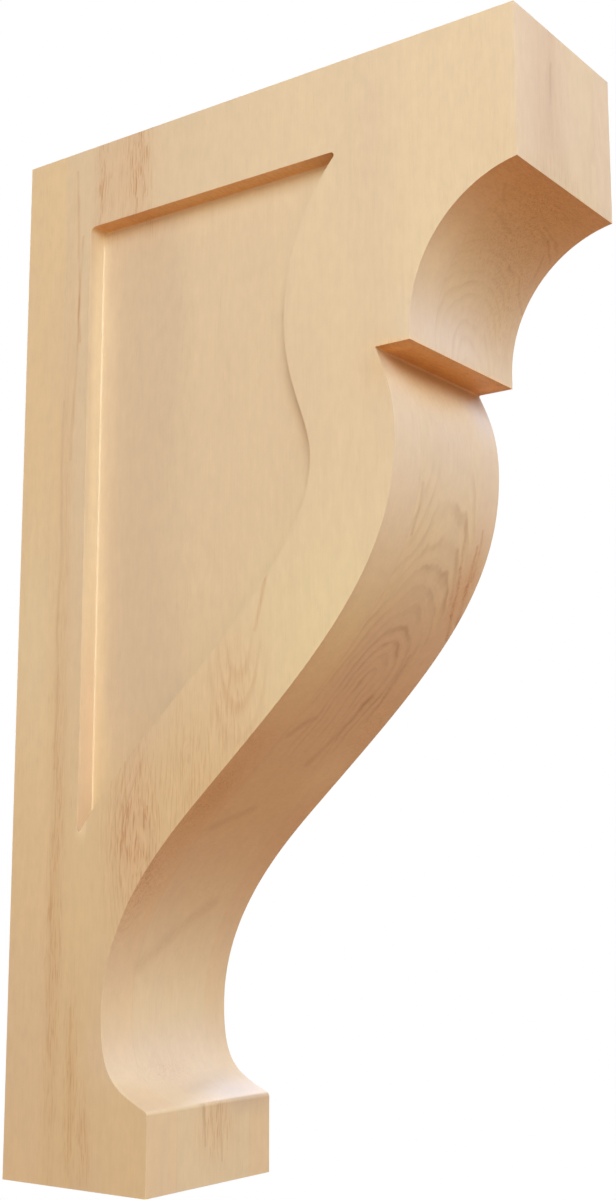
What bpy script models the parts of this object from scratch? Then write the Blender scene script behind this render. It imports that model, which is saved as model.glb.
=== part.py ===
"""Carved wooden corbel bracket.

One block of wood, cut through its width to one outline: a square head with a quarter-round cove under its
front, a square ledge below the cove, an S-shaped front and a small square foot. A flat panel is sunk into each
side, and its front edge keeps an even border to the S-shaped front. The back is flat and sits against a wall.

Metres, +Z up. The back lies in the plane Y = 0, the front faces -Y, and the origin is the middle of the back.
Outlines are drawn as (forward, up): forward from the wall and up from the underside of the foot.
"""
from math import acos, cos, pi, radians, sin, sqrt

import bmesh
import bpy
from mathutils import Vector
from mathutils.geometry import interpolate_bezier

# Overall block
HEIGHT = 0.500
WIDTH = 0.089
DEPTH = 0.2825

# Head, cove and ledge
FASCIA_HEIGHT = 0.069
COVE_RADIUS = 0.0622
COVE_CENTRE_AHEAD = 0.009
COVE_WALL_HEIGHT = 0.0069
LEDGE_SETBACK = 0.018

# S-shaped front: how far the belly swells past the ledge's inner corner, and how far below the ledge
BELLY_SWELL = 0.0099
BELLY_DROP = 0.0393
# The S turns over between belly and waist, at these shares of the way up and out from the waist
TURN_UP_SHARE = 0.4026
TURN_OUT_SHARE = 0.375
# The waist is the nearest point to the wall, above the foot
WAIST_DEPTH = 0.060
WAIST_RISE = 0.0416
# Directions of the curve where it starts, turns over and ends, down from the horizontal
START_SLOPE = radians(68.0)
TURN_SLOPE = radians(42.2)
FOOT_SLOPE = radians(24.0)
# Bezier handles, as shares of the distance between the curve's knots
START_HANDLES = (0.20, 0.50)
BELLY_HANDLES = (0.32, 0.46)
WAIST_HANDLES = (0.28, 0.385)
FOOT_HANDLES = (0.60, 0.41)

# Foot
FOOT_HEIGHT = 0.0362
FOOT_PROJECTION = 0.0283

# Sunk side panels
PANEL_DEPTH = 0.010
PANEL_STILE = 0.0425
PANEL_TOP_RAIL = 0.0422
PANEL_FRONT_BORDER = 0.04375
PANEL_COVE_BORDER = 0.0667
PANEL_ARC_RADIUS = 0.103
PANEL_ARC_RISE = 0.016
PANEL_NECK_DROP = 0.021
PANEL_NECK_HANDLES = (0.48, 0.32)
PANEL_CORNER_RADIUS = 0.003
PANEL_TIP_RADIUS = 0.0012
PANEL_CUT_OVERRUN = 0.005

# Eased edges, and how finely the curves are cut into flats
EDGE_EASE = 0.0008
EDGE_SEGMENTS = 2
EDGE_ANGLE = radians(35.0)
CURVE_FLAT = 0.005
CORNER_FLATS = 5

# Pale unvarnished hardwood
WOOD_COLOUR = (0.72, 0.53, 0.33, 1.0)
WOOD_ROUGHNESS = 0.55

DOWN = Vector((0.0, -1.0))


def clear_scene():
    """Remove every object of the scene."""
    for item in list(bpy.data.objects):
        bpy.data.objects.remove(item, do_unlink=True)


def wood_material():
    """Pale hardwood with a satin surface."""
    material = bpy.data.materials.new("pale_wood")
    material.use_nodes = True
    shader = material.node_tree.nodes["Principled BSDF"]
    shader.inputs["Base Color"].default_value = WOOD_COLOUR
    shader.inputs["Roughness"].default_value = WOOD_ROUGHNESS
    shader.inputs["Metallic"].default_value = 0.0
    return material


def slope(angle, way):
    """Unit direction that drops at an angle, forward with way 1 and back to the wall with way -1."""
    return Vector((way * cos(angle), -sin(angle)))


def arc(centre, radius, start, end, flats):
    """Points along an arc, both ends included."""
    turns = [start + (end - start) * step / flats for step in range(flats + 1)]
    return [centre + radius * Vector((cos(turn), sin(turn))) for turn in turns]


def flats_along(length):
    """Number of flats that a curve of this length is cut into."""
    return max(3, round(length / CURVE_FLAT))


def bezier(start, start_way, end, end_way, shares):
    """Points of a cubic curve between two knots, with handles as shares of the distance between them."""
    reach = (end - start).length
    first = (start + start_way * reach * shares[0]).to_3d()
    second = (end - end_way * reach * shares[1]).to_3d()
    points = interpolate_bezier(start.to_3d(), first, second, end.to_3d(), flats_along(reach) + 1)
    return [point.to_2d() for point in points]


def cove_wall_depth():
    """Distance from the wall to the back of the cove."""
    return DEPTH + COVE_CENTRE_AHEAD - COVE_RADIUS


def cove_centre():
    """Centre of the cove's arc, which starts at the fascia's lower edge."""
    fall = sqrt(COVE_RADIUS ** 2 - COVE_CENTRE_AHEAD ** 2)
    return Vector((DEPTH + COVE_CENTRE_AHEAD, HEIGHT - FASCIA_HEIGHT - fall))


def ledge_corner():
    """Inner corner of the ledge, where the S-shaped front begins."""
    return Vector((cove_wall_depth() - LEDGE_SETBACK, cove_centre().y - COVE_WALL_HEIGHT))


def belly():
    """Foremost point of the S."""
    return ledge_corner() + Vector((BELLY_SWELL, -BELLY_DROP))


def waist():
    """Point of the S nearest to the wall."""
    return Vector((WAIST_DEPTH, FOOT_HEIGHT + WAIST_RISE))


def foot_edge():
    """Upper front edge of the foot, where the S ends."""
    return Vector((WAIST_DEPTH + FOOT_PROJECTION, FOOT_HEIGHT))


def front_curve():
    """Points of the S-shaped front, from the ledge down to the foot."""
    rise = belly() - waist()
    turn = waist() + Vector((rise.x * TURN_OUT_SHARE, rise.y * TURN_UP_SHARE))
    turn_way = slope(TURN_SLOPE, -1)
    runs = (
        (ledge_corner(), slope(START_SLOPE, 1), belly(), DOWN, START_HANDLES),
        (belly(), DOWN, turn, turn_way, BELLY_HANDLES),
        (turn, turn_way, waist(), DOWN, WAIST_HANDLES),
        (waist(), DOWN, foot_edge(), slope(FOOT_SLOPE, 1), FOOT_HANDLES),
    )
    points = [ledge_corner()]
    for run in runs:
        points.extend(bezier(*run)[1:])
    return points


def cove_curve():
    """Points of the cove, from the fascia's lower edge to the vertical wall over the ledge."""
    start = pi - acos(COVE_CENTRE_AHEAD / COVE_RADIUS)
    return arc(cove_centre(), COVE_RADIUS, start, pi, flats_along(COVE_RADIUS * (pi - start)))


def body_outline():
    """Side outline of the whole bracket."""
    back = [Vector((0.0, 0.0)), Vector((0.0, HEIGHT)), Vector((DEPTH, HEIGHT))]
    ledge = [Vector((cove_wall_depth(), ledge_corner().y))]
    foot = [Vector((foot_edge().x, 0.0))]
    return back + cove_curve() + ledge + front_curve() + foot


def inset_points(points, distance):
    """A curve's points moved square to it, into the wood on its wall side."""
    moved = []
    for index, point in enumerate(points):
        before = points[max(index - 1, 0)]
        after = points[min(index + 1, len(points) - 1)]
        way = (after - before).normalized()
        moved.append(point + Vector((way.y, -way.x)) * distance)
    return moved


def crossing(points, depth):
    """Index and place where a run of points going back first comes nearer to the wall than a depth."""
    index = next(i for i, point in enumerate(points) if point.x < depth)
    share = (points[index - 1].x - depth) / (points[index - 1].x - points[index].x)
    return index, points[index - 1].lerp(points[index], share)


def panel_front_edge():
    """The panel's long front edge with its rounded tip, from below the belly down to the stile."""
    below_belly = belly().y - PANEL_NECK_DROP
    sweep = [point for point in front_curve() if waist().y < point.y < below_belly]
    edge = inset_points(sweep, PANEL_FRONT_BORDER)
    tip_path = inset_points(sweep, PANEL_FRONT_BORDER + PANEL_TIP_RADIUS)
    index, tip_centre = crossing(tip_path, PANEL_STILE + PANEL_TIP_RADIUS)
    away = edge[index] - tip_path[index]
    start = Vector((1.0, 0.0)).angle(away)
    tip = arc(tip_centre, PANEL_TIP_RADIUS, -start, -pi, CORNER_FLATS)
    return edge[:index] + tip


def panel_upper_arc():
    """The panel's arc behind the cove, with the rounded corner at the top rail."""
    top = HEIGHT - PANEL_TOP_RAIL
    foremost = cove_wall_depth() - PANEL_COVE_BORDER
    centre = Vector((foremost + PANEL_ARC_RADIUS, cove_centre().y + PANEL_ARC_RISE))
    reach = PANEL_ARC_RADIUS + PANEL_CORNER_RADIUS
    corner_up = top - PANEL_CORNER_RADIUS
    lean = acos((corner_up - centre.y) / reach)
    corner = centre + reach * Vector((-sin(lean), cos(lean)))
    round_end = lean - pi / 2
    start = pi / 2 + lean
    corner_points = arc(corner, PANEL_CORNER_RADIUS, pi / 2, round_end, CORNER_FLATS)
    arc_points = arc(centre, PANEL_ARC_RADIUS, start, pi, flats_along(PANEL_ARC_RADIUS * (pi - start)))
    return corner_points + arc_points[1:]


def panel_outline():
    """Side outline of a sunk panel."""
    upper = panel_upper_arc()
    front = panel_front_edge()
    neck_way = (front[1] - front[0]).normalized()
    neck = bezier(upper[-1], DOWN, front[0], neck_way, PANEL_NECK_HANDLES)
    corner = Vector((PANEL_STILE + PANEL_CORNER_RADIUS, HEIGHT - PANEL_TOP_RAIL - PANEL_CORNER_RADIUS))
    back_corner = arc(corner, PANEL_CORNER_RADIUS, pi, pi / 2, CORNER_FLATS)
    return upper + neck[1:-1] + front + back_corner


def extruded(name, outline, left, right):
    """Closed solid between two X positions, drawn from a side outline."""
    shape = bmesh.new()
    corners = [shape.verts.new((left, -point.x, point.y - HEIGHT / 2)) for point in outline]
    side = shape.faces.new(corners)
    grown = bmesh.ops.extrude_face_region(shape, geom=[side])["geom"]
    moved = [item for item in grown if isinstance(item, bmesh.types.BMVert)]
    bmesh.ops.translate(shape, verts=moved, vec=(right - left, 0.0, 0.0))
    bmesh.ops.recalc_face_normals(shape, faces=shape.faces)
    mesh = bpy.data.meshes.new(name)
    shape.to_mesh(mesh)
    shape.free()
    solid = bpy.data.objects.new(name, mesh)
    bpy.context.scene.collection.objects.link(solid)
    return solid


def panel_cutters():
    """The two solids that sink a panel into each side."""
    floor = WIDTH / 2 - PANEL_DEPTH
    outside = WIDTH / 2 + PANEL_CUT_OVERRUN
    cutters = [
        extruded("panel_cutter_left", panel_outline(), -outside, -floor),
        extruded("panel_cutter_right", panel_outline(), floor, outside),
    ]
    for cutter in cutters:
        cutter.hide_render = True
        cutter.display_type = "WIRE"
    return cutters


def corbel_bracket(material):
    """The whole bracket, carved from one block."""
    bracket = extruded("corbel_bracket", body_outline(), -WIDTH / 2, WIDTH / 2)
    bracket.data.materials.append(material)
    for cutter in panel_cutters():
        cut = bracket.modifiers.new(cutter.name, "BOOLEAN")
        cut.operation = "DIFFERENCE"
        cut.solver = "EXACT"
        cut.object = cutter
    ease = bracket.modifiers.new("eased_edges", "BEVEL")
    ease.width = EDGE_EASE
    ease.segments = EDGE_SEGMENTS
    ease.limit_method = "ANGLE"
    ease.angle_limit = EDGE_ANGLE
    bracket.data.shade_smooth()
    bracket.data.set_sharp_from_angle(angle=EDGE_ANGLE)
    return bracket


clear_scene()
corbel_bracket(wood_material())
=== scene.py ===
"""Studio scene of a carved wooden corbel bracket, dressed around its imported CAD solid."""
from __future__ import annotations

import logging
from dataclasses import dataclass
from enum import Enum
from math import acos, cos, exp, pi, radians, sin, sqrt, tan
from typing import Iterable, Sequence, Union

import bmesh
import bpy
from mathutils import Matrix, Vector
from mathutils.geometry import interpolate_bezier


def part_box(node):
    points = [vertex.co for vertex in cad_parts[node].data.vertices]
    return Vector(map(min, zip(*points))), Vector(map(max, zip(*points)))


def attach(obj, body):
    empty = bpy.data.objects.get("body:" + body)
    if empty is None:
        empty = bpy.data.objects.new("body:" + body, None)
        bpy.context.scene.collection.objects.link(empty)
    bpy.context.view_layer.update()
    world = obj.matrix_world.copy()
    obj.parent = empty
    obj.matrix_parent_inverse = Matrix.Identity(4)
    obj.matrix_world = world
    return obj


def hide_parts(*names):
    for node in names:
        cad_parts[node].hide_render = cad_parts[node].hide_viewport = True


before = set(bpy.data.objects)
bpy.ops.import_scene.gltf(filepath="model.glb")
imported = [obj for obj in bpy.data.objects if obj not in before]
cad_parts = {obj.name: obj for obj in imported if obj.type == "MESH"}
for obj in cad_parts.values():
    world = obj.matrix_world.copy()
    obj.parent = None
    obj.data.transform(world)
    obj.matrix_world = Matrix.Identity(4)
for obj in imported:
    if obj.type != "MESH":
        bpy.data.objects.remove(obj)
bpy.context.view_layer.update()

LOG = logging.getLogger("corbel")
NODE = "corbel_bracket"
PHOTO_HEIGHT = 1200


class Side(Enum):
    """A side of the bracket, by the sign of its X."""

    LEFT = -1
    RIGHT = 1


class Way(Enum):
    """Which way a sloping line runs as it drops."""

    BACK = -1
    FORWARD = 1


class Axis(Enum):
    """An axis of a vector, by its number."""

    X = 0
    Y = 1
    Z = 2


def sloping(angle: float, way: Way) -> Vector:
    """Give the unit direction of a line that drops at an angle.

    Args:
        angle: Drop below the horizontal, in radians.
        way: Towards the front or back to the wall.

    Returns:
        The direction as (forward, up).
    """
    return Vector((way.value * cos(angle), -sin(angle)))


def towards(azimuth: float, elevation: float) -> Vector:
    """Give the unit direction of a point seen from the bracket.

    Args:
        azimuth: Angle around the bracket, from its front towards its right side, in radians.
        elevation: Angle above the horizontal, in radians.

    Returns:
        The direction.
    """
    return Vector((sin(azimuth) * cos(elevation), -cos(azimuth) * cos(elevation), sin(elevation)))


@dataclass(frozen=True)
class SideOutline:
    """The bracket's side outline, as (forward from the wall, up from the foot), in metres."""

    height: float
    depth: float
    fascia_height: float = 0.069
    cove_radius: float = 0.0622
    cove_centre_ahead: float = 0.009
    cove_wall_height: float = 0.0069
    ledge_setback: float = 0.018
    belly_swell: float = 0.0099
    belly_drop: float = 0.0393
    turn_up_share: float = 0.4026
    turn_out_share: float = 0.375
    waist_depth: float = 0.060
    waist_rise: float = 0.0416
    start_slope: float = radians(68.0)
    turn_slope: float = radians(42.2)
    foot_slope: float = radians(24.0)
    start_handles: tuple[float, float] = (0.20, 0.50)
    belly_handles: tuple[float, float] = (0.32, 0.46)
    waist_handles: tuple[float, float] = (0.28, 0.385)
    foot_handles: tuple[float, float] = (0.60, 0.41)
    foot_height: float = 0.0362
    foot_projection: float = 0.0283
    foot_round: float = 0.0022
    panel_stile: float = 0.0425
    panel_top_rail: float = 0.0422
    panel_front_border: float = 0.04375
    panel_cove_border: float = 0.0667
    panel_arc_radius: float = 0.103
    panel_arc_rise: float = 0.016
    panel_neck_drop: float = 0.021
    panel_neck_handles: tuple[float, float] = (0.48, 0.32)
    panel_corner_radius: float = 0.003
    panel_tip_radius: float = 0.0012
    panel_point_radius: float = 0.0016
    curve_flat: float = 0.0016
    corner_flats: int = 10

    def flats_along(self, length: float) -> int:
        """Number of flats that a curve of this length is cut into."""
        return max(3, round(length / self.curve_flat))

    def arc(self, centre: Vector, radius: float, start: float, end: float, flats: int) -> list[Vector]:
        """Give the points along an arc, both ends included.

        Args:
            centre: Centre of the arc.
            radius: Radius of the arc.
            start: Angle of the first point.
            end: Angle of the last point.
            flats: Number of flats between them.

        Returns:
            The points in order.
        """
        turns = [start + (end - start) * step / flats for step in range(flats + 1)]
        return [centre + radius * Vector((cos(turn), sin(turn))) for turn in turns]

    def bezier(self, start: Vector, start_way: Vector, end: Vector, end_way: Vector,
               shares: tuple[float, float]) -> list[Vector]:
        """Give the points of a cubic curve between two knots.

        Args:
            start: First knot.
            start_way: Direction at the first knot.
            end: Second knot.
            end_way: Direction at the second knot.
            shares: Length of each handle as a share of the distance between the knots.

        Returns:
            The points in order, both knots included.
        """
        reach = (end - start).length
        first = (start + start_way * reach * shares[0]).to_3d()
        second = (end - end_way * reach * shares[1]).to_3d()
        points = interpolate_bezier(start.to_3d(), first, second, end.to_3d(), self.flats_along(reach) + 1)
        return [point.to_2d() for point in points]

    @property
    def cove_wall_depth(self) -> float:
        """Distance from the wall to the back of the cove."""
        return self.depth + self.cove_centre_ahead - self.cove_radius

    @property
    def cove_centre(self) -> Vector:
        """Centre of the cove's arc, which starts at the fascia's lower edge."""
        fall = sqrt(self.cove_radius ** 2 - self.cove_centre_ahead ** 2)
        return Vector((self.depth + self.cove_centre_ahead, self.height - self.fascia_height - fall))

    @property
    def ledge_corner(self) -> Vector:
        """Inner corner of the ledge, where the S-shaped front begins."""
        up = self.cove_centre.y - self.cove_wall_height
        return Vector((self.cove_wall_depth - self.ledge_setback, up))

    @property
    def belly(self) -> Vector:
        """Foremost point of the S."""
        return self.ledge_corner + Vector((self.belly_swell, -self.belly_drop))

    @property
    def waist(self) -> Vector:
        """Point of the S nearest to the wall."""
        return Vector((self.waist_depth, self.foot_height + self.waist_rise))

    @property
    def foot_edge(self) -> Vector:
        """Upper front edge of the foot, where the S ends."""
        return Vector((self.waist_depth + self.foot_projection, self.foot_height))

    def front_curve(self) -> list[Vector]:
        """Points of the S-shaped front, from the ledge down to the foot."""
        down = Vector((0.0, -1.0))
        rise = self.belly - self.waist
        turn = self.waist + Vector((rise.x * self.turn_out_share, rise.y * self.turn_up_share))
        turn_way = sloping(self.turn_slope, Way.BACK)
        start_way = sloping(self.start_slope, Way.FORWARD)
        foot_way = sloping(self.foot_slope, Way.FORWARD)
        runs = (
            (self.ledge_corner, start_way, self.belly, down, self.start_handles),
            (self.belly, down, turn, turn_way, self.belly_handles),
            (turn, turn_way, self.waist, down, self.waist_handles),
            (self.waist, down, self.foot_edge, foot_way, self.foot_handles),
        )
        points = [self.ledge_corner]
        for run in runs:
            points.extend(self.bezier(*run)[1:])
        return points

    def cove_curve(self) -> list[Vector]:
        """Points of the cove, from the fascia's lower edge to the vertical wall over the ledge."""
        start = pi - acos(self.cove_centre_ahead / self.cove_radius)
        flats = self.flats_along(self.cove_radius * (pi - start))
        return self.arc(self.cove_centre, self.cove_radius, start, pi, flats)

    def foot_corner(self) -> list[Vector]:
        """Points of the foot's rounded upper front edge."""
        outward = pi / 2 - self.foot_slope
        reach = self.foot_round * tan(outward / 2)
        start = self.foot_edge - sloping(self.foot_slope, Way.FORWARD) * reach
        centre = start - self.foot_round * Vector((cos(outward), sin(outward)))
        return self.arc(centre, self.foot_round, outward, 0.0, self.corner_flats)

    def body(self) -> list[Vector]:
        """Points of the whole side outline."""
        back = [Vector((0.0, 0.0)), Vector((0.0, self.height)), Vector((self.depth, self.height))]
        ledge = [Vector((self.cove_wall_depth, self.ledge_corner.y))]
        corner = self.foot_corner()
        front = [point for point in self.front_curve() if point.y > self.waist.y or point.x < corner[0].x]
        foot = corner + [Vector((self.foot_edge.x, 0.0))]
        return back + self.cove_curve() + ledge + front + foot

    def inset(self, points: Sequence[Vector], distance: float) -> list[Vector]:
        """Move a curve's points square to it, into the wood on its wall side.

        Args:
            points: The curve's points, from top to bottom.
            distance: How far each point moves.

        Returns:
            The moved points.
        """
        moved = []
        for index, point in enumerate(points):
            before = points[max(index - 1, 0)]
            after = points[min(index + 1, len(points) - 1)]
            way = (after - before).normalized()
            moved.append(point + Vector((way.y, -way.x)) * distance)
        return moved

    def panel_front_edge(self) -> list[Vector]:
        """Points of the panel's long front edge with its rounded tip, from below the belly to the stile."""
        below_belly = self.belly.y - self.panel_neck_drop
        sweep = [point for point in self.front_curve() if self.waist.y < point.y < below_belly]
        edge = self.inset(sweep, self.panel_front_border)
        tip_path = self.inset(sweep, self.panel_front_border + self.panel_tip_radius)
        tip_depth = self.panel_stile + self.panel_tip_radius
        last = next(i for i, point in enumerate(tip_path) if point.x < tip_depth)
        share = (tip_path[last - 1].x - tip_depth) / (tip_path[last - 1].x - tip_path[last].x)
        centre = tip_path[last - 1].lerp(tip_path[last], share)
        start = Vector((1.0, 0.0)).angle(edge[last] - tip_path[last])
        return edge[:last] + self.arc(centre, self.panel_tip_radius, -start, -pi, self.corner_flats)

    def panel_upper_arc(self) -> list[Vector]:
        """Points of the panel's arc behind the cove, with the rounded corner at the top rail."""
        foremost = self.cove_wall_depth - self.panel_cove_border
        centre = Vector((foremost + self.panel_arc_radius, self.cove_centre.y + self.panel_arc_rise))
        reach = self.panel_arc_radius + self.panel_point_radius
        lean = acos((self.height - self.panel_top_rail - self.panel_point_radius - centre.y) / reach)
        corner = centre + reach * Vector((-sin(lean), cos(lean)))
        rounded = self.arc(corner, self.panel_point_radius, pi / 2, lean - pi / 2, self.corner_flats)
        flats = self.flats_along(self.panel_arc_radius * (pi / 2 - lean))
        return rounded + self.arc(centre, self.panel_arc_radius, pi / 2 + lean, pi, flats)[1:]

    def panel(self) -> list[Vector]:
        """Points of a sunk panel's outline."""
        upper = self.panel_upper_arc()
        front = self.panel_front_edge()
        neck_way = (front[1] - front[0]).normalized()
        neck = self.bezier(upper[-1], Vector((0.0, -1.0)), front[0], neck_way, self.panel_neck_handles)
        corner = Vector((self.panel_stile, self.height - self.panel_top_rail))
        corner += Vector((self.panel_corner_radius, -self.panel_corner_radius))
        rounded = self.arc(corner, self.panel_corner_radius, pi, pi / 2, self.corner_flats)
        return upper + neck[1:-1] + front + rounded


@dataclass
class CarvedBracket:
    """The whole bracket, carved from one block, with sunk panels and eased edges."""

    outline: SideOutline
    width: float
    base_height: float
    panel_depth: float = 0.010
    cut_overrun: float = 0.005
    edge_ease: float = 0.0008
    floor_fillet: float = 0.0012
    ease_segments: int = 4
    ease_angle: float = radians(35.0)
    merge_distance: float = 1e-6

    def solid(self, name: str, points: Iterable[Vector], left: float, right: float) -> bpy.types.Object:
        """Extrude a side outline across the bracket.

        Args:
            name: Name of the object.
            points: The outline, as (forward, up).
            left: Lowest X of the solid.
            right: Highest X of the solid.

        Returns:
            An object with the closed solid.
        """
        shape = bmesh.new()
        tip = shape.verts.new((0.0, 0.0, 0.0))
        ring = [tip]
        for point in points:
            tip = bmesh.ops.extrude_vert_indiv(shape, verts=[tip])["verts"][0]
            tip.co = (left, -point.x, self.base_height + point.y)
            ring.append(tip)
        bmesh.ops.delete(shape, geom=ring[:1], context="VERTS")
        shape.edges.new((ring[-1], ring[1]))
        side = bmesh.ops.contextual_create(shape, geom=shape.edges[:])["faces"]
        grown = bmesh.ops.extrude_face_region(shape, geom=side)["geom"]
        moved = [item for item in grown if isinstance(item, bmesh.types.BMVert)]
        bmesh.ops.translate(shape, verts=moved, vec=(right - left, 0.0, 0.0))
        bmesh.ops.recalc_face_normals(shape, faces=shape.faces[:])
        return self.finished(name, shape)

    def finished(self, name: str, shape: bmesh.types.BMesh) -> bpy.types.Object:
        """Turn a bmesh into an object at the origin.

        Args:
            name: Name of the object.
            shape: The bmesh, which is freed.

        Returns:
            The new object, linked to the scene.
        """
        mesh = bpy.data.meshes.new(name)
        shape.to_mesh(mesh)
        shape.free()
        piece = bpy.data.objects.new(name, mesh)
        bpy.context.scene.collection.objects.link(piece)
        return piece

    def cut_panels(self, block: bpy.types.Object) -> bmesh.types.BMesh:
        """Sink a panel into each side of the block.

        Args:
            block: The plain block, which is removed.

        Returns:
            The cut shape.
        """
        floor = self.width / 2 - self.panel_depth
        outside = self.width / 2 + self.cut_overrun
        cutters = []
        for side in Side:
            low, high = sorted((side.value * floor, side.value * outside))
            cutter = self.solid("panel_cutter", self.outline.panel(), low, high)
            cut = block.modifiers.new("sunk_panel", "BOOLEAN")
            cut.operation = "DIFFERENCE"
            cut.solver = "EXACT"
            cut.object = cutter
            cutters.append(cutter)
        evaluated = block.evaluated_get(bpy.context.evaluated_depsgraph_get())
        shape = bmesh.new()
        shape.from_mesh(evaluated.data)
        for used in (block, *cutters):
            bpy.data.objects.remove(used, do_unlink=True)
        bmesh.ops.remove_doubles(shape, verts=shape.verts[:], dist=self.merge_distance)
        return shape

    def ease(self, shape: bmesh.types.BMesh, hollow: bool, radius: float) -> None:
        """Round the sharp edges of one kind.

        Args:
            shape: The carved shape.
            hollow: True for the inner corners, False for the outer edges.
            radius: Radius of the rounding.
        """
        sharp = []
        for edge in shape.edges:
            angle = edge.calc_face_angle_signed(0.0)
            if abs(angle) > self.ease_angle and (angle < 0.0) == hollow:
                sharp.append(edge)
        bmesh.ops.bevel(
            shape, geom=sharp, offset=radius, offset_type="OFFSET", segments=self.ease_segments,
            profile=0.5, affect="EDGES", clamp_overlap=True, material=-1,
        )

    def build(self) -> bpy.types.Object:
        """Carve the bracket.

        Returns:
            The finished piece, at the origin.
        """
        block = self.solid("block", self.outline.body(), -self.width / 2, self.width / 2)
        shape = self.cut_panels(block)
        self.ease(shape, hollow=True, radius=self.floor_fillet)
        self.ease(shape, hollow=False, radius=self.edge_ease)
        bmesh.ops.recalc_face_normals(shape, faces=shape.faces[:])
        for face in shape.faces:
            face.smooth = True
        piece = self.finished("carved_bracket", shape)
        weights = piece.modifiers.new("flat_faces", "WEIGHTED_NORMAL")
        weights.mode = "FACE_AREA"
        weights.keep_sharp = True
        return piece


@dataclass(frozen=True)
class PhotoCamera:
    """The camera at the photograph's viewpoint."""

    forward_of_wall: float = 0.58975
    beside_centre: float = -0.61497
    above_foot: float = 0.13255
    azimuth: float = radians(-54.047)
    elevation: float = radians(-9.916)
    roll: float = radians(-0.033)
    focal_pixels: float = 1660.3
    sensor: float = 36.0

    def build(self, base_height: float) -> bpy.types.Object:
        """Place the camera.

        Args:
            base_height: Height of the foot's underside in the frame.

        Returns:
            The camera.
        """
        back = towards(self.azimuth, self.elevation)
        level_right = Vector((0.0, 0.0, 1.0)).cross(back).normalized()
        level_up = back.cross(level_right)
        right = cos(self.roll) * level_right + sin(self.roll) * level_up
        up = cos(self.roll) * level_up - sin(self.roll) * level_right
        lens = bpy.data.cameras.new("photo_camera")
        lens.sensor_width = self.sensor
        lens.lens = self.focal_pixels * self.sensor / PHOTO_HEIGHT
        camera = bpy.data.objects.new("photo_camera", lens)
        turned = Matrix((right, up, back)).transposed().to_4x4()
        place = Vector((self.beside_centre, -self.forward_of_wall, base_height + self.above_foot))
        camera.matrix_world = Matrix.Translation(place) @ turned
        bpy.context.scene.collection.objects.link(camera)
        bpy.context.scene.camera = camera
        return camera


Number = Union["Reading", float]
Colour = tuple[float, float, float]
Place = tuple[float, float, float]
Settings = dict[str, object]
Sockets = dict[Union[str, int], object]


@dataclass(frozen=True)
class Reading:
    """A socket whose value varies over the surface; arithmetic on it adds Math nodes."""

    wiring: "Wiring"
    socket: bpy.types.NodeSocket

    def __add__(self, other: Number) -> "Reading":
        """Sum of this and another."""
        return self.wiring.math("ADD", self, other)

    def __radd__(self, other: Number) -> "Reading":
        """Sum of another and this."""
        return self.wiring.math("ADD", other, self)

    def __sub__(self, other: Number) -> "Reading":
        """This less another."""
        return self.wiring.math("SUBTRACT", self, other)

    def __rsub__(self, other: Number) -> "Reading":
        """Another less this."""
        return self.wiring.math("SUBTRACT", other, self)

    def __mul__(self, other: Number) -> "Reading":
        """Product of this and another."""
        return self.wiring.math("MULTIPLY", self, other)

    def __rmul__(self, other: Number) -> "Reading":
        """Product of another and this."""
        return self.wiring.math("MULTIPLY", other, self)

    def __truediv__(self, other: Number) -> "Reading":
        """This over another."""
        return self.wiring.math("DIVIDE", self, other)

    def __neg__(self) -> "Reading":
        """This with its sign turned."""
        return self.wiring.math("MULTIPLY", self, -1.0)

    def __pow__(self, other: Number) -> "Reading":
        """This raised to a power."""
        return self.wiring.math("POWER", self, other)

    def __abs__(self) -> "Reading":
        """Size of this without its sign."""
        return self.wiring.math("ABSOLUTE", self)

    def axis(self, axis: Axis) -> "Reading":
        """One axis of this, where this is a vector."""
        return self.wiring.reading("ShaderNodeSeparateXYZ", {}, {0: self}, axis.value)

    def above(self, limit: Number) -> "Reading":
        """One where this is over the limit, else nothing."""
        return self.wiring.math("GREATER_THAN", self, limit)

    def at_least(self, other: Number) -> "Reading":
        """Larger of this and another."""
        return self.wiring.math("MAXIMUM", self, other)

    def part(self) -> "Reading":
        """Fraction of this beyond the whole number below it."""
        return self.wiring.math("FRACT", self)

    def whole(self) -> "Reading":
        """Whole number below this."""
        return self.wiring.math("FLOOR", self)

    def crest(self, start: float, peak: float) -> "Reading":
        """Rise from nothing at the start to one at the peak, and back to nothing at one."""
        return self.eased(start, peak) * self.faded(peak, 1.0)

    def falloff(self) -> "Reading":
        """Bell-shaped fall from one as this grows from nothing."""
        return self.wiring.math("POWER", exp(-1.0), self)

    def eased(self, start: float, end: float) -> "Reading":
        """Smooth step from nothing to one as this goes from start to end."""
        settings = {"interpolation_type": "SMOOTHSTEP"}
        sockets = {"Value": self, "From Min": start, "From Max": end}
        return self.wiring.reading("ShaderNodeMapRange", settings, sockets)

    def faded(self, start: float, end: float) -> "Reading":
        """Smooth step from one to nothing as this goes from start to end."""
        settings = {"interpolation_type": "SMOOTHSTEP"}
        sockets = {"Value": self, "From Min": start, "From Max": end, "To Min": 1.0, "To Max": 0.0}
        return self.wiring.reading("ShaderNodeMapRange", settings, sockets)


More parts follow.
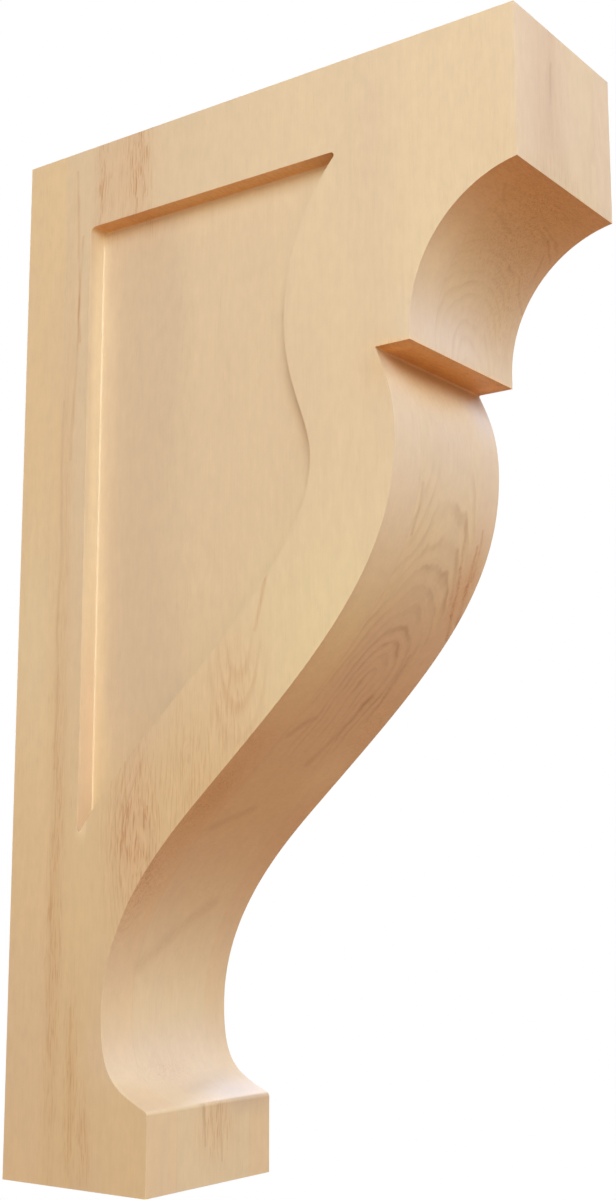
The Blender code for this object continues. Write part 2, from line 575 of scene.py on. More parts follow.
class Wiring:
    """The node tree of one finish, and the few ways in which it grows."""

    def __init__(self, tree: bpy.types.NodeTree) -> None:
        """Keep the tree."""
        self.tree = tree

    def node(self, kind: str, settings: Settings, sockets: Sockets) -> bpy.types.Node:
        """Add a node.

        Args:
            kind: Type of the node.
            settings: Its settings, which are set first.
            sockets: Values or readings of its input sockets, by name or number.

        Returns:
            The node.
        """
        made = self.tree.nodes.new(kind)
        for name, value in settings.items():
            setattr(made, name, value)
        for name, value in sockets.items():
            if isinstance(value, Reading):
                self.tree.links.new(value.socket, made.inputs[name])
            else:
                made.inputs[name].default_value = value
        return made

    def reading(self, kind: str, settings: Settings, sockets: Sockets,
                output: Union[str, int] = 0) -> Reading:
        """Add a node and read one of its outputs.

        Args:
            kind: Type of the node.
            settings: Its settings.
            sockets: Values or readings of its input sockets.
            output: Name or number of the output.

        Returns:
            The output's reading.
        """
        return Reading(self, self.node(kind, settings, sockets).outputs[output])

    def math(self, operation: str, *values: Number) -> Reading:
        """Add a Math node on one or two numbers."""
        return self.reading("ShaderNodeMath", {"operation": operation}, dict(enumerate(values)))

    def vector(self, operation: str, *values: object) -> Reading:
        """Add a Vector Math node on up to three vectors."""
        return self.reading("ShaderNodeVectorMath", {"operation": operation}, dict(enumerate(values)))

    def measure(self, operation: str, first: object, second: object) -> Reading:
        """Add a Vector Math node that gives one number from two vectors."""
        return self.reading("ShaderNodeVectorMath", {"operation": operation}, {0: first, 1: second}, 1)

    def scaled(self, vector: object, size: Reading) -> Reading:
        """Add a Vector Math node that scales a vector."""
        return self.reading("ShaderNodeVectorMath", {"operation": "SCALE"}, {0: vector, "Scale": size})

    def noise(self, place: Reading, sizes: Place, detail: float = 2.0, roughness: float = 0.5,
              output: int = 0) -> Reading:
        """Add smooth noise over a place.

        Args:
            place: Where it is read.
            sizes: Size of the pattern along each axis.
            detail: Number of finer layers.
            roughness: Strength of each finer layer.
            output: 0 for one number, 1 for three.

        Returns:
            The noise, about one half on average.
        """
        spread = self.vector("MULTIPLY", place, tuple(1.0 / size for size in sizes))
        sockets = {"Vector": spread, "Scale": 1.0, "Detail": detail, "Roughness": roughness}
        return self.reading("ShaderNodeTexNoise", {}, sockets, output)

    def wave(self, place: Reading, sizes: Place, reach: Place, detail: float = 1.0,
             roughness: float = 0.5) -> Reading:
        """Give an offset that waves about nothing.

        Args:
            place: Where it is read.
            sizes: Size of the waves along each axis.
            reach: Strength of the waves along each axis.
            detail: Number of finer layers.
            roughness: Strength of each finer layer.

        Returns:
            The offset, as a vector.
        """
        noise = self.noise(place, sizes, detail, roughness, 1)
        return self.vector("MULTIPLY", self.vector("SUBTRACT", noise, (0.5, 0.5, 0.5)), reach)

    def near(self, place: Reading, centre: Place, halves: Place) -> Reading:
        """Give one at a centre, falling to nothing outside a soft egg shape of these half sizes."""
        inverse = Vector(1.0 / half for half in halves)
        shares = self.vector("MULTIPLY_ADD", place, tuple(inverse), tuple(-inverse * Vector(centre)))
        return self.measure("DOT_PRODUCT", shares, shares).falloff()

    def tinted(self, colour: Reading, tint: Colour) -> Reading:
        """Multiply a colour by a tint."""
        return self.blend(1.0, colour, tint, "MULTIPLY")

    def blend(self, share: Number, first: object, second: object, way: str = "MIX") -> Reading:
        """Mix two colours.

        Args:
            share: Share of the second.
            first: First colour, or its reading.
            second: Second colour, or its reading.
            way: Name of the blend.

        Returns:
            The mixed colour.
        """
        ready = [item if isinstance(item, Reading) else (*item, 1.0) for item in (first, second)]
        settings = {"data_type": "RGBA", "blend_type": way, "clamp_factor": True}
        return self.reading("ShaderNodeMix", settings, {0: share, 6: ready[0], 7: ready[1]}, 2)


@dataclass(frozen=True)
class Figure:
    """A swelling in the growth rings, which shows as a flame. Places are in millimetres."""

    centre: Place
    halves: Place
    swell: float
    strength: float
    fine: float


@dataclass(frozen=True)
class Loops:
    """Nested U-shaped lines, open at the top. Places are in millimetres."""

    centre: Place
    halves: Place
    count: float
    fade: tuple[float, float]
    strength: float

    def mark(self, wiring: Wiring, place: Reading) -> Reading:
        """Give how dark the lines make a place.

        Args:
            wiring: The finish's wiring.
            place: The place, as (across, depth, up).

        Returns:
            The strength on each line, and nothing between them.
        """
        near = wiring.near(place, self.centre, self.halves)
        step = (near * self.count).part()
        shown = near.eased(0.12, 0.30) * place.axis(Axis.Z).faded(*self.fade)
        return step.crest(0.30, 0.75) * shown * self.strength


@dataclass(frozen=True)
class Patch:
    """A soft patch of another colour, with fine dark strands: mostly a tone in the wood, in some places
    painted shade or a painted highlight. Places are in millimetres.
    """

    centre: Place
    halves: Place
    colour: Colour
    share: float
    strands: float = 0.0


@dataclass(frozen=True)
class Streak:
    """A thin dark mark in the wood between two places, in millimetres."""

    start: Place
    end: Place
    radius: float
    strength: float

    def mark(self, wiring: Wiring, place: Reading) -> Reading:
        """Give how dark the streak makes a place.

        Args:
            wiring: The finish's wiring.
            place: The place, as (across, depth, up).

        Returns:
            The strength along the streak, falling to nothing beside it.
        """
        run = Vector(self.end) - Vector(self.start)
        offset = wiring.vector("SUBTRACT", place, self.start)
        along = wiring.measure("DOT_PRODUCT", offset, tuple(run / run.length_squared))
        held = wiring.reading("ShaderNodeClamp", {}, {"Value": along})
        apart = wiring.measure("DISTANCE", offset, wiring.scaled(tuple(run), held))
        return apart.faded(0.0, self.radius) * self.strength


@dataclass(frozen=True)
class PaleWood:
    """Fine-sanded, unvarnished pale hardwood, glued up from upright boards. Lengths are in millimetres."""

    upper: Colour = (0.748, 0.548, 0.352)
    lower: Colour = (0.757, 0.537, 0.305)
    core: Colour = (0.755, 0.560, 0.328)
    back: Colour = (0.785, 0.552, 0.318)
    pink: Colour = (0.697, 0.502, 0.328)
    heart: Colour = (0.745, 0.545, 0.336)
    brown: Colour = (0.455, 0.245, 0.132)
    russet: Colour = (0.560, 0.285, 0.135)
    # Tint for downward faces: a painted warm shade, like light bounced from below.
    underside: Colour = (1.02, 0.78, 0.47)
    # Tint for upward faces: a painted slight shade, stronger the more a face looks up.
    top_shade: Colour = (0.95, 0.90, 0.93)
    # Paler tones of the sunk panels' walls along the stiles, higher and lower: a painted highlight.
    wall_highlight_high: Colour = (0.850, 0.655, 0.420)
    wall_highlight_low: Colour = (0.835, 0.600, 0.385)
    end_grain: Colour = (0.86, 0.78, 0.66)
    left_joint: float = -23.5
    right_joint: float = 29.0
    back_joint: float = 25.5
    joint_width: float = 0.5
    pith_across: float = 4.5
    pith_depth: float = 174.0
    cove_floor: float = 113.0
    cove_pith_depth: float = 222.0
    cove_pith_lean: float = 0.5
    cove_top: float = 178.0
    outer_pith_across: float = 75.0
    outer_pith_depth: float = -150.0
    heart_radius: float = 27.0
    heart_fade: float = 45.0
    ring: float = 4.8
    fine_ring: float = 4.8 * 0.31
    fine_share: float = 0.16
    recess_mouth: float = 43.5
    recess_floor: float = 38.5
    unit: Place = (1000.0, -1000.0, 1000.0)
    ripple_sizes: Place = (9.0, 9.0, 34.0)
    ripple_reach: Place = (4.0, 4.0, 4.0)
    sway_sizes: Place = (55.0, 55.0, 190.0)
    sway_reach: Place = (14.0, 14.0, 0.0)
    bend_sizes: Place = (24.0, 24.0, 50.0)
    bend_reach: Place = (6.5, 6.5, 0.0)
    fleck_sizes: Place = (0.45, 0.45, 8.0)
    pore_band_sizes: Place = (16.0, 16.0, 60.0)
    ring_gap_sizes: Place = (14.0, 14.0, 30.0)
    strand_sizes: Place = (0.80, 0.80, 15.0)
    drift_sizes: Place = (30.0, 30.0, 110.0)
    drift_reach: float = 40.0
    blush_sizes: Place = (26.0, 26.0, 110.0)
    mottle_sizes: Place = (5.0, 5.0, 9.0)
    fibre_sizes: Place = (0.8, 0.8, 30.0)
    open_end_sizes: Place = (4.0, 1.1, 3.0)
    line_strength: float = 0.48
    pore_strength: float = 0.44
    strand_strength: float = 0.60
    joint_strength: float = 0.10
    blush_strength: float = 0.28
    mottle_strength: float = 0.14
    fibre_strength: float = 0.09
    open_end_strength: float = 0.26
    refraction: float = 1.45
    least_roughness: float = 0.42
    pore_roughness: float = 0.14
    line_roughness: float = 0.05
    strand_roughness: float = 0.04
    bump_strength: float = 0.10
    bump_depth: float = 0.00012
    figures: tuple[Figure, ...] = (
        Figure((-44.5, 77, -102), (10, 14, 44), 26, 1, 0.7),
        Figure((-44.5, 109, -60), (10, 6, 9), 12, 0.5, 0.2),
    )
    loops: Loops = Loops((-44.5, 138, -3), (30, 13.5, 41), 3.6, (-26, 6), 0.24)
    fascia_patches: tuple[Patch, ...] = (
        Patch((0, 286, 215), (60, 9, 60), (0.742, 0.545, 0.36), 0.9),
        Patch((-17, 283, 216), (17, 12, 60), (0.69, 0.485, 0.32), 0.9, 0.15),
    )
    belly_patches: tuple[Patch, ...] = (
        Patch((0, 221, 79), (36, 15, 24), (0.7, 0.515, 0.352), 0.85, 0.15),
        # Next: a painted reddish shade under the ledge, with some strands, then a painted pale highlight at
        # the belly's top right.
        Patch((-10, 214, 103), (36, 9, 11), (0.69, 0.415, 0.19), 0.78, 0.3),
        Patch((37, 217, 99), (12, 8, 12), (0.73, 0.575, 0.47), 0.8),
    )
    # Under the ledge: a painted orange shade along it, with some strands, and painted highlights at its two
    # ends.
    ledge_shade_and_highlight_patches: tuple[Patch, ...] = (
        Patch((0, 224, 112.6), (70, 12, 1.5), (0.83, 0.545, 0.27), 0.9, 0.5),
        Patch((-37, 219, 112.6), (4, 9, 1.2), (1.000, 0.72, 0.42), 0.8),
        Patch((38, 219, 112.6), (4, 9, 1.2), (1.000, 0.7, 0.42), 0.8),
    )
    cove_patches: tuple[Patch, ...] = (
        Patch((6, 256, 168), (26, 22, 20), (0.7, 0.51, 0.3), 0.85, 1.1),
        Patch((0, 274, 180), (36, 10, 10), (0.695, 0.525, 0.3), 0.75, 1),
        Patch((30, 238, 148), (16, 14, 26), (0.73, 0.51, 0.28), 0.6, 0.6),
        Patch((-34, 240, 152), (10, 16, 26), (0.82, 0.625, 0.375), 0.8),
        # A painted pale sheen low in the cove.
        Patch((-12, 229, 121), (34, 8, 14), (0.745, 0.57, 0.43), 0.8),
    )
    sweep_patches: tuple[Patch, ...] = (
        Patch((-34, 186, -8), (13, 40, 48), (0.81, 0.64, 0.36), 0.9),
        Patch((32, 132, -62), (15, 20, 22), (0.84, 0.66, 0.41), 0.75),
        Patch((36, 207, 20), (9, 14, 26), (0.71, 0.45, 0.23), 0.8, 0.5),
        Patch((36, 150, -38), (10, 16, 18), (0.77, 0.56, 0.33), 0.6, 0.8),
        Patch((-37, 118, -76), (11, 30, 28), (0.69, 0.445, 0.215), 0.75, 0.9),
    )
    waist_patches: tuple[Patch, ...] = (
        # A painted pale, pinker sheen over the foot's top, then a painted shadow over its right end.
        Patch((4, 66, -192), (60, 16, 15), (0.755, 0.555, 0.385), 0.9),
        Patch((26, 82, -210), (28, 14, 9), (0.51, 0.35, 0.24), 0.8),
        Patch((-6, 66, -201), (18, 8, 7), (0.69, 0.48, 0.31), 0.55, 0.6),
    )
    flame_patches: tuple[Patch, ...] = (
        Patch((-44.5, 78, -92), (14, 14, 35), (0.74, 0.47, 0.27), 0.72, 1.7),
        Patch((-42, 108, -50), (14, 11, 26), (0.745, 0.515, 0.3), 0.45, 0.4),
        Patch((-42, 134, -34), (14, 12, 24), (0.745, 0.495, 0.29), 0.55, 0.7),
    )
    rail_patches: tuple[Patch, ...] = (
        Patch((-44.5, 64, 230), (12, 17, 34), (0.725, 0.49, 0.3), 0.8, 0.4),
        Patch((-44.5, 50, 226), (12, 4, 26), (0.69, 0.45, 0.27), 0.5, 1.3),
        Patch((-44.5, 74, 232), (12, 6, 32), (0.69, 0.45, 0.27), 0.6, 1.7),
        Patch((-44.5, 210, 214), (12, 13, 60), (0.715, 0.512, 0.345), 0.6),
    )
    stile_patches: tuple[Patch, ...] = (
        Patch((-44.5, 29.5, -20), (12, 4.5, 230), (0.735, 0.5, 0.285), 0.75, 0.35),
        Patch((-44.5, 29, -135), (12, 4.5, 80), (0.7, 0.45, 0.24), 0.5, 1),
        Patch((-44.5, 42, -205), (12, 4.5, 40), (0.715, 0.46, 0.24), 0.55, 1),
        Patch((-44.5, 51, -230), (12, 3.5, 20), (0.715, 0.46, 0.24), 0.45, 1.1),
    )
    spot_patches: tuple[Patch, ...] = (
        # A painted highlight on the wall at the panel's tip.
        Patch((-42, 45, -89), (3.5, 2.5, 4.5), (1.000, 0.78, 0.52), 0.75),
        Patch((4, 90, -222), (13, 6, 15), (0.7, 0.475, 0.255), 0.6, 1.3),
        Patch((-44.5, 10, 2), (12, 14, 56), (0.805, 0.61, 0.37), 0.75),
    )
    sweep_streaks: tuple[Streak, ...] = (
        Streak((16, 75, -123), (-22, 62.5, -152.5), 6.5, 0.26),
        Streak((-2, 113, -81), (-20, 104, -89), 5, 0.34),
        Streak((-12, 155, -41.5), (-19, 147.5, -48.5), 3.6, 0.4),
        Streak((18, 166, -30), (11, 136, -60), 3.6, 0.38),
        Streak((24, 184, -12), (28, 158, -40), 2.6, 0.5),
    )
    edge_streaks: tuple[Streak, ...] = (
        Streak((19, 218, 47), (26, 211, 26), 2, 0.55),
        Streak((26, 211, 26), (36, 200, 7), 2.2, 0.8),
        Streak((36, 200, 7), (43, 192, -2), 2.1, 0.75),
        Streak((33, 215, 37), (37, 207, 20), 2.1, 0.8),
        Streak((37, 207, 20), (44, 197, 4), 2.1, 0.8),
        Streak((35, 217.5, 44), (38.5, 208.5, 23), 1.8, 0.65),
        Streak((18, 213, 32), (30, 202, 11), 2, 0.5),
    )
    front_streaks: tuple[Streak, ...] = (
        Streak((-20, 219.8, 56), (-20.5, 214.5, 34), 2.2, 0.42),
        Streak((-5, 88.3, -213), (-4, 88.3, -232), 1.5, 0.6),
        Streak((7, 88.3, -213), (9, 88.3, -240), 1.3, 0.45),
    )
    side_streaks: tuple[Streak, ...] = (
        Streak((-44.5, 153.5, 19), (-44.5, 147, -4), 2, 0.5),
        Streak((-44.5, 33, 240), (-44.5, 36.5, 150), 1.5, 0.5),
        Streak((-44.5, 37.5, 205), (-44.5, 32.5, 90), 1.4, 0.4),
        Streak((-44.5, 27, 120), (-44.5, 26.8, -60), 1.6, 0.35),
        Streak((-44.5, 40.5, -170), (-44.5, 42, -238), 1.5, 0.25),
    )
    fascia_streaks: tuple[Streak, ...] = (
        Streak((-12, 282.5, 234), (-13, 282.5, 216), 2.4, 0.3),
    )
    cove_streaks: tuple[Streak, ...] = (
        Streak((15, 244.5, 160.5), (27, 242.5, 158.5), 1.5, 0.34),
        Streak((27, 242.5, 158.5), (43, 236, 147), 1.6, 0.34),
        Streak((15, 260.5, 173.3), (27, 258.5, 172.2), 1.3, 0.4),
        Streak((27, 258.5, 172.2), (41, 252.5, 168), 1.4, 0.44),
        Streak((17, 263, 174.8), (28, 260.5, 173.3), 1.2, 0.34),
        Streak((28, 260.5, 173.3), (40, 256.5, 171), 1.3, 0.4),
        Streak((33, 253.5, 168.8), (38, 246, 162), 1.4, 0.34),
        Streak((-30, 268, 177.3), (-20, 263, 174.8), 1.6, 0.34),
        Streak((-14, 257, 171), (2, 254, 169.4), 1.6, 0.3),
    )

    @property
    def patches(self) -> tuple[Patch, ...]:
        """All the patches, each laid over those before it."""
        front = self.fascia_patches + self.belly_patches + self.ledge_shade_and_highlight_patches + self.cove_patches
        low = self.sweep_patches + self.waist_patches
        return front + low + self.flame_patches + self.rail_patches + self.stile_patches + self.spot_patches

    @property
    def dark_streaks(self) -> tuple[Streak, ...]:
        """All the brown streaks."""
        return self.sweep_streaks + self.front_streaks + self.fascia_streaks + self.cove_streaks

    @property
    def rusty_streaks(self) -> tuple[Streak, ...]:
        """All the reddish streaks."""
        return self.edge_streaks + self.side_streaks

    def material(self, name: str) -> bpy.types.Material:
        """Make the finish.

        Args:
            name: Name of the material.

        Returns:
            The material.
        """
        made = bpy.data.materials.new(name)
        made.use_nodes = True
        wiring = Wiring(made.node_tree)
        shader = made.node_tree.nodes["Principled BSDF"]
        shader.inputs["IOR"].default_value = self.refraction
        place = self.place(wiring)
        rippled = self.rippled(wiring, place)
        flames = [wiring.near(rippled, figure.centre, figure.halves) for figure in self.figures]
        patches = [wiring.near(rippled, patch.centre, patch.halves) for patch in self.patches]
        outer = self.outer_boards(wiring, place)
        radius = self.ring_radius(wiring, rippled, outer, flames)
        line = self.ring_lines(wiring, place, radius, outer, flames)
        fleck = wiring.noise(place, self.fleck_sizes, 1.0, 0.6).eased(0.55, 0.80)
        pores = self.pores(wiring, place, fleck)
        strands = self.strands(wiring, rippled, patches)
        tone = self.tone(wiring, place, radius, outer, patches)
        colour = self.marked(wiring, place, rippled, tone, line, pores, strands)
        roughness = self.least_roughness + self.pore_roughness * pores
        roughness = roughness + self.line_roughness * line + self.strand_roughness * strands
        relief = {"Strength": self.bump_strength, "Distance": self.bump_depth, "Height": fleck}
        bump = wiring.reading("ShaderNodeBump", {"invert": True}, relief)
        for socket, value in (("Base Color", colour), ("Roughness", roughness), ("Normal", bump)):
            made.node_tree.links.new(value.socket, shader.inputs[socket])
        return made

    def place(self, wiring: Wiring) -> Reading:
        """Read the place as (across, depth, up) in millimetres."""
        here = wiring.reading("ShaderNodeTexCoord", {}, {}, "Object")
        return wiring.vector("MULTIPLY", here, self.unit)

    def rippled(self, wiring: Wiring, place: Reading) -> Reading:
        """Move a place by the small waves of the grain."""
        ripple = wiring.wave(place, self.ripple_sizes, self.ripple_reach, 2.0, 0.55)
        return wiring.vector("ADD", place, ripple)

    def normal(self, wiring: Wiring) -> Reading:
        """Read which way the surface faces."""
        return wiring.reading("ShaderNodeNewGeometry", {}, {}, "True Normal")

    def outer_boards(self, wiring: Wiring, place: Reading) -> Reading:
        """Give one in the two outer boards, and nothing in the core."""
        across = place.axis(Axis.X)
        return across.above(self.right_joint) + (-across).above(-self.left_joint)

    def ring_radius(self, wiring: Wiring, place: Reading, outer: Reading,
                    flames: Sequence[Reading]) -> Reading:
        """Give the distance from the middle of the tree, in millimetres.

        Args:
            wiring: The finish's wiring.
            place: The place in the block.
            outer: One in the outer boards.
            flames: Nearness to each figure.

        Returns:
            The distance, with the waves of the growth rings.
        """
        swayed = wiring.vector("ADD", place, wiring.wave(place, self.sway_sizes, self.sway_reach))
        moved = wiring.vector("ADD", swayed, wiring.wave(place, self.bend_sizes, self.bend_reach))
        across = moved.axis(Axis.X)
        depth = moved.axis(Axis.Y)
        pith_across = self.pith_across + outer * (self.outer_pith_across - self.pith_across)
        pith_depth = self.pith_depth + outer * (self.outer_pith_depth - self.pith_depth)
        from_side = abs(across) * outer + across * (1.0 - outer) - pith_across
        up = place.axis(Axis.Z)
        risen = -(-up).at_least(-self.cove_top) - self.cove_floor
        in_cove = up.above(self.cove_floor) * (1.0 - outer)
        shift = in_cove * (self.cove_pith_depth - self.pith_depth - self.cove_pith_lean * risen)
        from_front = (depth - pith_depth - shift).at_least(0.0)
        radius = (from_side * from_side + from_front * from_front) ** 0.5
        for figure, near in zip(self.figures, flames):
            radius = radius + near * figure.swell
        return radius

    def ring_lines(self, wiring: Wiring, place: Reading, radius: Reading, outer: Reading,
                   flames: Sequence[Reading]) -> Reading:
        """Give the dark late edge of each growth ring.

        Args:
            wiring: The finish's wiring.
            place: The place in the block.
            radius: Distance from the middle of the tree.
            outer: One in the outer boards.
            flames: Nearness to each figure.

        Returns:
            One on the darkest lines, and nothing between them.
        """
        figured: Number = 0.0
        dense: Number = self.fine_share
        for figure, near in zip(self.figures, flames):
            figured = near * figure.strength + figured
            dense = near * figure.fine + dense
        count = radius / self.ring
        fine = (radius / self.fine_ring).part()
        line = count.part().crest(0.30, 0.82) + dense * fine.crest(0.40, 0.85)
        chance = wiring.reading(
            "ShaderNodeTexWhiteNoise", {"noise_dimensions": "1D"}, {"W": count.whole()}, "Value",
        )
        patch = wiring.noise(place, self.ring_gap_sizes).eased(0.36, 0.62)
        across = place.axis(Axis.X)
        depth = place.axis(Axis.Y)
        up = place.axis(Axis.Z)
        heart = radius.faded(self.heart_radius, self.heart_radius + self.heart_fade)
        heart = heart * depth.eased(self.pith_depth - 36.0, self.pith_depth - 4.0)
        heart = heart * (0.28 + 0.72 * across.eased(-20.0, 4.0)) * (1.0 - 0.5 * across.eased(20.0, 32.0))
        heart = heart * (1.0 - 0.80 * up.above(self.cove_floor))
        belly = up.eased(50.0, 80.0) * (1.0 - up.above(self.cove_floor))
        faint = 0.05 + 0.25 * depth.eased(120.0, 150.0)
        shown = (faint + 0.86 * heart) * (1.0 - 0.75 * outer) * (1.0 - 0.8 * belly) + figured
        return line * (0.35 + 0.65 * chance) * (0.30 + 0.70 * patch) * shown

    def pores(self, wiring: Wiring, place: Reading, fleck: Reading) -> Reading:
        """Gather the fine upright pores into bands.

        Args:
            wiring: The finish's wiring.
            place: The place in the block.
            fleck: One in each pore.

        Returns:
            One in the deepest pores, and nothing between them.
        """
        thick = wiring.noise(place, self.pore_band_sizes, 2.0, 0.6).eased(0.52, 0.72)
        return fleck * (0.05 + 0.55 * thick)

    def strands(self, wiring: Wiring, rippled: Reading, patches: Sequence[Reading]) -> Reading:
        """Give the bundles of reddish strands.

        Args:
            wiring: The finish's wiring.
            rippled: The place moved by the waves of the grain.
            patches: Nearness to each patch.

        Returns:
            The strength of the strands.
        """
        strand = wiring.noise(rippled, self.strand_sizes, 2.0, 0.65).eased(0.48, 0.66)
        bundled: Number = 0.0
        for patch, near in zip(self.patches, patches):
            if patch.strands > 0.0:
                bundled = near * patch.strands + bundled
        return strand * bundled

    def tone(self, wiring: Wiring, place: Reading, radius: Reading, outer: Reading,
             patches: Sequence[Reading]) -> Reading:
        """Give the broad colour of the boards, with a painted highlight on the sunk panels' walls along the
        stiles and the painted shade and highlights of some patches.

        Args:
            wiring: The finish's wiring.
            place: The place in the block.
            radius: Distance from the middle of the tree.
            outer: One in the outer boards.
            patches: Nearness to each patch.

        Returns:
            The colour.
        """
        depth = place.axis(Axis.Y)
        up = place.axis(Axis.Z)
        drifted = depth + self.drift_reach * (wiring.noise(place, self.drift_sizes) - 0.5)
        side = wiring.blend(up.eased(-140.0, 70.0), self.lower, self.upper)
        band = drifted.eased(40.0, 52.0) * drifted.faded(84.0, 104.0) * up.eased(-75.0, -15.0)
        side = wiring.blend(band * up.faded(203.0, 212.0), side, self.pink)
        side = wiring.blend(depth.eased(self.back_joint - 0.3, self.back_joint + 0.3), self.back, side)
        inner = radius.faded(self.heart_radius - 8.0, self.heart_radius + 6.0)
        inner = inner * depth.eased(self.pith_depth - 60.0, self.pith_depth - 20.0)
        core = wiring.blend(0.9 * inner, self.core, self.heart)
        boards = wiring.blend(outer, core, side)
        # Painted highlight on the forward-facing panel walls near the back. In the upper part it is weaker
        # by the outer edge, which is painted shade there.
        forward = -self.normal(wiring).axis(Axis.Y)
        mouth_shade = (-abs(place.axis(Axis.X))).faded(-self.recess_mouth, -self.recess_floor)
        wall = forward.eased(0.55, 0.95) * depth.faded(46.0, 50.0)
        wall = wall * (1.0 - 0.7 * mouth_shade * up.eased(0.0, 80.0))
        wall_highlight = wiring.blend(up.eased(-50.0, 60.0), self.wall_highlight_low, self.wall_highlight_high)
        boards = wiring.blend(wall, boards, wall_highlight)
        blush = wiring.noise(place, self.blush_sizes, 3.0, 0.55).eased(0.44, 0.66)
        toned = wiring.blend(self.blush_strength * blush, boards, self.pink)
        for patch, near in zip(self.patches, patches):
            toned = wiring.blend(near * patch.share, toned, patch.colour)
        return toned

    def drawn(self, place: Reading, streaks: Iterable[Streak]) -> Number:
        """Add up the marks of streaks.

        Args:
            place: The place, as (across, depth, up).
            streaks: The streaks.

        Returns:
            How dark they make the place.
        """
        total: Number = 0.0
        for streak in streaks:
            total = streak.mark(place.wiring, place) + total
        return total

    def marked(self, wiring: Wiring, place: Reading, rippled: Reading, tone: Reading, line: Reading,
               pores: Reading, strands: Reading) -> Reading:
        """Draw the grain on the boards, and paint a warm, darker shade on downward faces and a slight shade
        on upward faces.

        Args:
            wiring: The finish's wiring.
            place: The place in the block.
            rippled: The place moved by the waves of the grain.
            tone: The broad colour.
            line: The growth ring lines.
            pores: The fine pores.
            strands: The reddish strands.

        Returns:
            The finished colour.
        """
        mottle = wiring.noise(place, self.mottle_sizes, 3.0, 0.6)
        fibre = wiring.noise(rippled, self.fibre_sizes, 2.0, 0.6)
        light = 1.0 + self.mottle_strength * (mottle - 0.5) + self.fibre_strength * (fibre - 0.5)
        shaded = wiring.scaled(tone, light)
        broken = 0.45 + 0.55 * fibre.eased(0.40, 0.62)
        marks = line * self.line_strength + pores * self.pore_strength
        rust = strands * self.strand_strength + self.loops.mark(wiring, rippled)
        marks = marks + self.drawn(rippled, self.dark_streaks) * broken
        rust = rust + self.drawn(rippled, self.rusty_streaks) * broken
        reddened = wiring.blend(rust, shaded, self.russet)
        across = place.axis(Axis.X)
        joint = abs(across - self.left_joint).faded(0.0, self.joint_width)
        marks = marks + self.joint_strength * joint
        grained = wiring.blend(marks, reddened, self.brown)
        facing = self.normal(wiring).axis(Axis.Z)
        down = (-facing).at_least(0.0) ** 4.0
        # Downward faces get real end-grain speckle, and the underside tint paints a warm shade over them.
        open_ends = wiring.noise(place, self.open_end_sizes, 2.0, 0.6).eased(0.42, 0.68)
        cut = wiring.blend(self.open_end_strength * open_ends, grained, self.brown)
        underside_shaded = wiring.blend(down, grained, wiring.tinted(cut, self.underside))
        # Painted shade on upward faces, growing as they face straight up.
        up = facing.at_least(0.0) ** 4.0
        top_shaded = wiring.blend(up, underside_shaded, wiring.tinted(underside_shaded, self.top_shade))
        flat_top = facing.eased(0.97, 1.0)
        return wiring.blend(flat_top, top_shaded, wiring.tinted(cut, self.end_grain))


@dataclass(frozen=True)
class SoftLight:
    """A large round lamp, by where it stands around the bracket."""

    name: str
    azimuth: float
    elevation: float
    distance: float
    size: float
    power: float
    tint: Colour

    def build(self, middle: Vector) -> bpy.types.Object:
        """Hang the lamp.

        Args:
            middle: The point that it faces.

        Returns:
            The lamp.
        """
        way = towards(self.azimuth, self.elevation)
        lamp = bpy.data.lights.new(self.name, "AREA")
        lamp.shape = "DISK"
        lamp.size = self.size
        lamp.energy = self.power
        lamp.color = self.tint
        hung = bpy.data.objects.new(self.name, lamp)
        turned = way.to_track_quat("Z", "Y").to_matrix().to_4x4()
        hung.matrix_world = Matrix.Translation(middle + way * self.distance) @ turned
        hung.visible_camera = False
        bpy.context.scene.collection.objects.link(hung)
        return hung


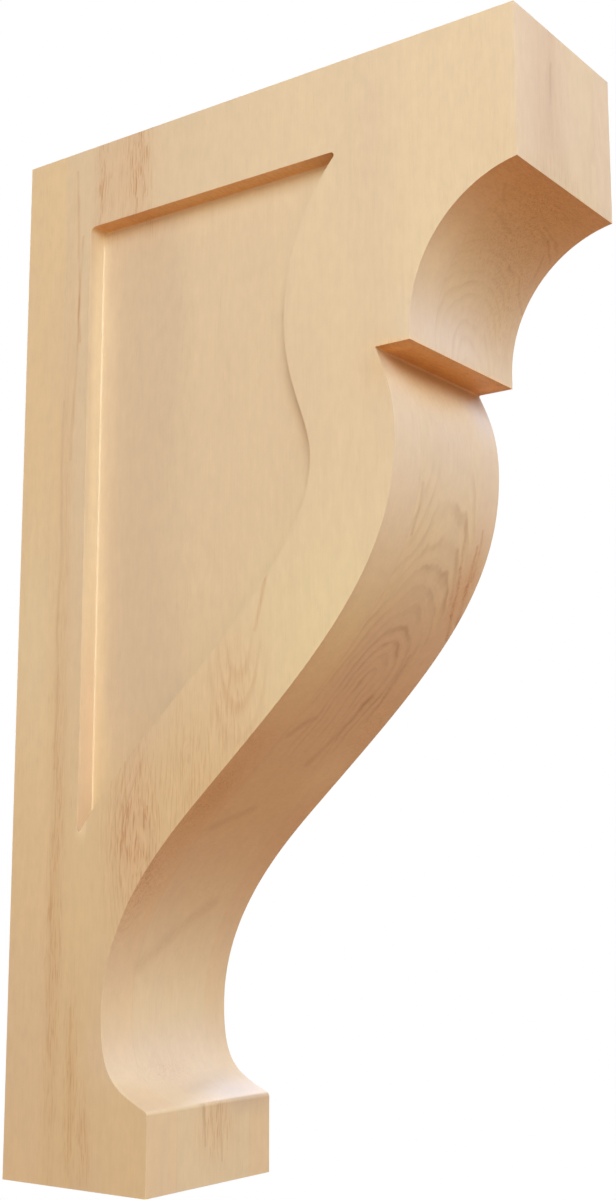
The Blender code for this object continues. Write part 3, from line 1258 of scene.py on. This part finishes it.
@dataclass
class Studio:
    """The white studio around the bracket: soft lamps, warm bounced light and a pale floor."""

    middle: Place = (0.0, -0.12, 0.0)
    floor_height: float = -1.6
    floor_radius: float = 4.0
    floor_sides: int = 96
    floor_colour: Colour = (0.22, 0.22, 0.22)
    floor_roughness: float = 0.8
    floor_glow: Colour = (0.78, 0.78, 0.77)
    bounce_tint: Colour = (1.526, 0.806, 0.669)
    bounce_around: float = 0.161
    below_tint: Colour = (1.334, 1.051, 0.615)
    bounce_below: float = 0.21
    lamps: tuple[SoftLight, ...] = (
        SoftLight("key", radians(-60.0), radians(28.0), 1.6, 1.0, 15.8, (0.755, 0.979, 1.208)),
        SoftLight("low_key", radians(-60.0), radians(9.6), 1.31, 0.9, 5.1, (0.977, 1.214, 0.808)),
        SoftLight("front", radians(10.0), radians(35.0), 2.0, 1.6, 24.6, (0.791, 0.987, 1.222)),
        SoftLight("low_fill", radians(-60.0), radians(-30.0), 2.0, 1.6, 3.54, (1.472, 0.845, 0.683)),
        SoftLight("right_side", radians(100.0), radians(15.0), 2.0, 1.6, 16.0, (0.80, 1.0, 1.20)),
        SoftLight("right_back", radians(135.0), radians(25.0), 2.0, 1.6, 26.0, (0.90, 1.0, 1.12)),
    )

    def build(self) -> bpy.types.Object:
        """Set up the studio.

        Returns:
            The floor.
        """
        for lamp in self.lamps:
            lamp.build(Vector(self.middle))
        self.surround()
        return self.floor()

    def surround(self) -> None:
        """Make the white surround, and the warm light that it sends back."""
        world = bpy.data.worlds.new("white_surround")
        bpy.context.scene.world = world
        world.use_nodes = True
        wiring = Wiring(world.node_tree)
        way = wiring.reading("ShaderNodeTexCoord", {}, {}, "Generated")
        down = (-way.axis(Axis.Z)).at_least(0.0)
        around = {"Color": (*self.bounce_tint, 1.0), "Strength": self.bounce_around}
        below = {"Color": (*self.below_tint, 1.0), "Strength": self.bounce_below * down}
        bounces = {
            0: wiring.reading("ShaderNodeBackground", {}, around),
            1: wiring.reading("ShaderNodeBackground", {}, below),
        }
        bounce = wiring.reading("ShaderNodeAddShader", {}, bounces)
        white = wiring.reading("ShaderNodeBackground", {}, {"Color": (1.0, 1.0, 1.0, 1.0), "Strength": 1.0})
        seen = wiring.reading("ShaderNodeLightPath", {}, {}, "Is Camera Ray")
        mixed = wiring.reading("ShaderNodeMixShader", {}, {0: seen, 1: bounce, 2: white})
        world.node_tree.links.new(mixed.socket, world.node_tree.nodes["World Output"].inputs["Surface"])

    def floor(self) -> bpy.types.Object:
        """Lay the floor.

        Returns:
            The floor.
        """
        shape = bmesh.new()
        bmesh.ops.create_circle(shape, cap_ends=True, radius=self.floor_radius, segments=self.floor_sides)
        bmesh.ops.translate(shape, verts=shape.verts[:], vec=(0.0, 0.0, self.floor_height))
        mesh = bpy.data.meshes.new("studio_floor")
        shape.to_mesh(mesh)
        shape.free()
        laid = bpy.data.objects.new("studio_floor", mesh)
        finish = bpy.data.materials.new("pale_floor")
        finish.use_nodes = True
        shader = finish.node_tree.nodes["Principled BSDF"]
        shader.inputs["Base Color"].default_value = (*self.floor_colour, 1.0)
        shader.inputs["Roughness"].default_value = self.floor_roughness
        shader.inputs["Emission Color"].default_value = (*self.floor_glow, 1.0)
        shader.inputs["Emission Strength"].default_value = 1.0
        mesh.materials.append(finish)
        laid.visible_diffuse = False
        laid.visible_glossy = False
        laid.visible_shadow = False
        bpy.context.scene.collection.objects.link(laid)
        return laid


def main() -> None:
    """Build the pieces in order and report each."""
    bpy.context.scene.view_settings.view_transform = "Standard"
    low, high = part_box(NODE)
    PhotoCamera().build(low.z)
    outline = SideOutline(height=high.z - low.z, depth=high.y - low.y)
    bracket = CarvedBracket(outline=outline, width=high.x - low.x, base_height=low.z)
    piece = bracket.build()
    piece.data.materials.append(PaleWood().material("pale_wood"))
    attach(piece, "root")
    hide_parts(NODE)
    LOG.info("%s: %d faces", piece.name, len(piece.data.polygons))
    floor = Studio().build()
    LOG.info("%s: %d lamps around the bracket", floor.name, len(Studio.lamps))


if __name__ == "__main__":
    logging.basicConfig(level=logging.INFO, format="%(name)s: %(message)s")
    main()
